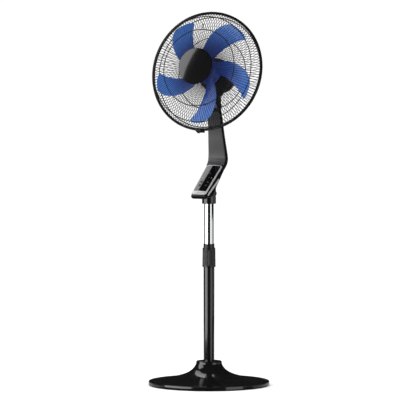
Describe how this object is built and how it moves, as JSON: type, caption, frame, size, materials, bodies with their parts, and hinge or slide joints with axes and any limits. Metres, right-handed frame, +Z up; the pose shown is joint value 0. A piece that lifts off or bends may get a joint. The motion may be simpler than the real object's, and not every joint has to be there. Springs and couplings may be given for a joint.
{
  "type": "pedestal fan",
  "caption": "Pedestal fan: round base, telescopic column, cranked arm with sloping key panel, tilting and swinging caged head with swept blades.",
  "frame": {"origin": "on the floor, at the centre of the base's feet and on the column's axis", "axes": "+Z up along the column, the fan blows towards -Y, +X to the fan's left as it faces the room"},
  "size_m": [0.444, 0.444, 1.3719],
  "materials": {
    "black_gloss": "moulded gloss black plastic",
    "black_paint": "gloss black powder coat",
    "iron": "plain",
    "rubber": "matt",
    "steel": "zinc plated",
    "chrome": "polished chrome",
    "black_matte": "fine grain",
    "grey_satin": "satin dark grey",
    "silver": "silver paint, satin",
    "lens_black": "clear gloss over black",
    "board_green": "solder mask",
    "light_white": "diffusing",
    "acetal": "natural acetal",
    "die_cast": "as cast",
    "bronze": "sintered bronze",
    "laminations": "varnished steel sheets",
    "winding": "enamelled copper",
    "wire_black": "black coated wire",
    "blade_blue": "moulded blue plastic"
  },
  "bodies": {
    "stand": {"base_cover": "black_gloss", "base_weight": "iron", "base_feet": "rubber", "base_bolt": "steel", "tube_plug": "steel", "outer_tube": "black_paint", "clamp_sleeve": "black_matte"},
    "collar": {"clamp_collar": "black_matte"},
    "mast": {"inner_tube": "chrome", "tube_glide": "acetal", "arm_shell": "black_gloss", "neck_cover": "grey_satin", "panel_bezel": "silver", "control_panel": "lens_black", "side_trim": "silver", "control_board": "board_green", "key_switches": "steel", "indicator_lights": "light_white", "cord_gland": "black_matte", "cover_screws": "steel", "socket_screw": "steel", "tilt_bolt": "steel", "tilt_nut": "steel"},
    "power_key": {"key_power": "black_matte"},
    "speed_key": {"key_speed": "black_matte"},
    "mode_key": {"key_mode": "black_matte"},
    "timer_key": {"key_timer": "black_matte"},
    "swing_key": {"key_swing": "black_matte"},
    "knuckle": {"tilt_knuckle": "black_matte", "swing_gear": "acetal", "swing_washer": "steel", "swing_screw": "steel"},
    "head": {"motor_bracket": "die_cast", "swing_motor": "die_cast", "front_end_bell": "die_cast", "rear_end_bell": "die_cast", "front_bearing": "bronze", "rear_bearing": "bronze", "stator_core": "laminations", "stator_coils": "winding", "motor_bolts": "steel", "motor_front_cover": "black_matte", "motor_rear_cover": "black_matte", "housing_screws": "steel", "capacitor": "acetal", "rear_guard": "wire_black", "guard_nut": "black_matte", "front_guard": "wire_black", "guard_ring": "black_gloss", "badge": "black_gloss", "clip_bracket": "black_matte", "top_hook": "wire_black"},
    "pinion": {"swing_pinion": "acetal"},
    "rotor": {"rotor_core": "laminations", "motor_shaft": "steel", "drive_pin": "steel", "fan_blades": "blade_blue", "blade_nut": "black_gloss"},
    "clip": {"guard_clip": "black_matte"}
  },
  "joints": [
    {"name": "height_slide", "type": "slide", "parent": "stand", "child": "mast", "axis": [0, 0, 1], "range_m": [-0.14, 0.045]},
    {"name": "collar_turn", "type": "hinge", "parent": "stand", "child": "collar", "pos_m": [0, 0, 0.47], "axis": [0, 0, 1], "range_deg": [0, 90]},
    {"name": "head_tilt", "type": "hinge", "parent": "mast", "child": "knuckle", "pos_m": [0, 0.044, 1.047], "axis": [-1, 0, 0], "range_deg": [-18, 12]},
    {"name": "head_swing", "type": "hinge", "parent": "knuckle", "child": "head", "pos_m": [0, 0.051, 1.07617], "axis": [0, 0.2334, 0.9724], "range_deg": [-40, 40]},
    {"name": "pinion_spin", "type": "hinge", "parent": "head", "child": "pinion", "pos_m": [0, 0.08017, 1.06917], "axis": [0, 0.2334, 0.9724], "range_deg": [-165, 165]},
    {"name": "blade_spin", "type": "hinge", "parent": "head", "child": "rotor", "pos_m": [0, -0.01644, 1.15509], "axis": [0, -0.9724, 0.2334], "continuous": true},
    {"name": "clip_hinge", "type": "hinge", "parent": "head", "child": "clip", "pos_m": [0, -0.07542, 0.93725], "axis": [1, 0, 0], "range_deg": [0, 75]},
    {"name": "power_press", "type": "slide", "parent": "mast", "child": "power_key", "axis": [0, 0.5807, -0.8141], "range_m": [0, 0.0008], "stiffness_N_per_m": 400},
    {"name": "speed_press", "type": "slide", "parent": "mast", "child": "speed_key", "axis": [0, 0.5807, -0.8141], "range_m": [0, 0.0008], "stiffness_N_per_m": 400},
    {"name": "mode_press", "type": "slide", "parent": "mast", "child": "mode_key", "axis": [0, 0.5807, -0.8141], "range_m": [0, 0.0008], "stiffness_N_per_m": 400},
    {"name": "timer_press", "type": "slide", "parent": "mast", "child": "timer_key", "axis": [0, 0.5807, -0.8141], "range_m": [0, 0.0008], "stiffness_N_per_m": 400},
    {"name": "swing_press", "type": "slide", "parent": "mast", "child": "swing_key", "axis": [0, 0.5807, -0.8141], "range_m": [0, 0.0008], "stiffness_N_per_m": 400}
  ],
  "couplings": [
    {"joint": "pinion_spin", "follows": "head_swing", "ratio": 4}
  ]
}
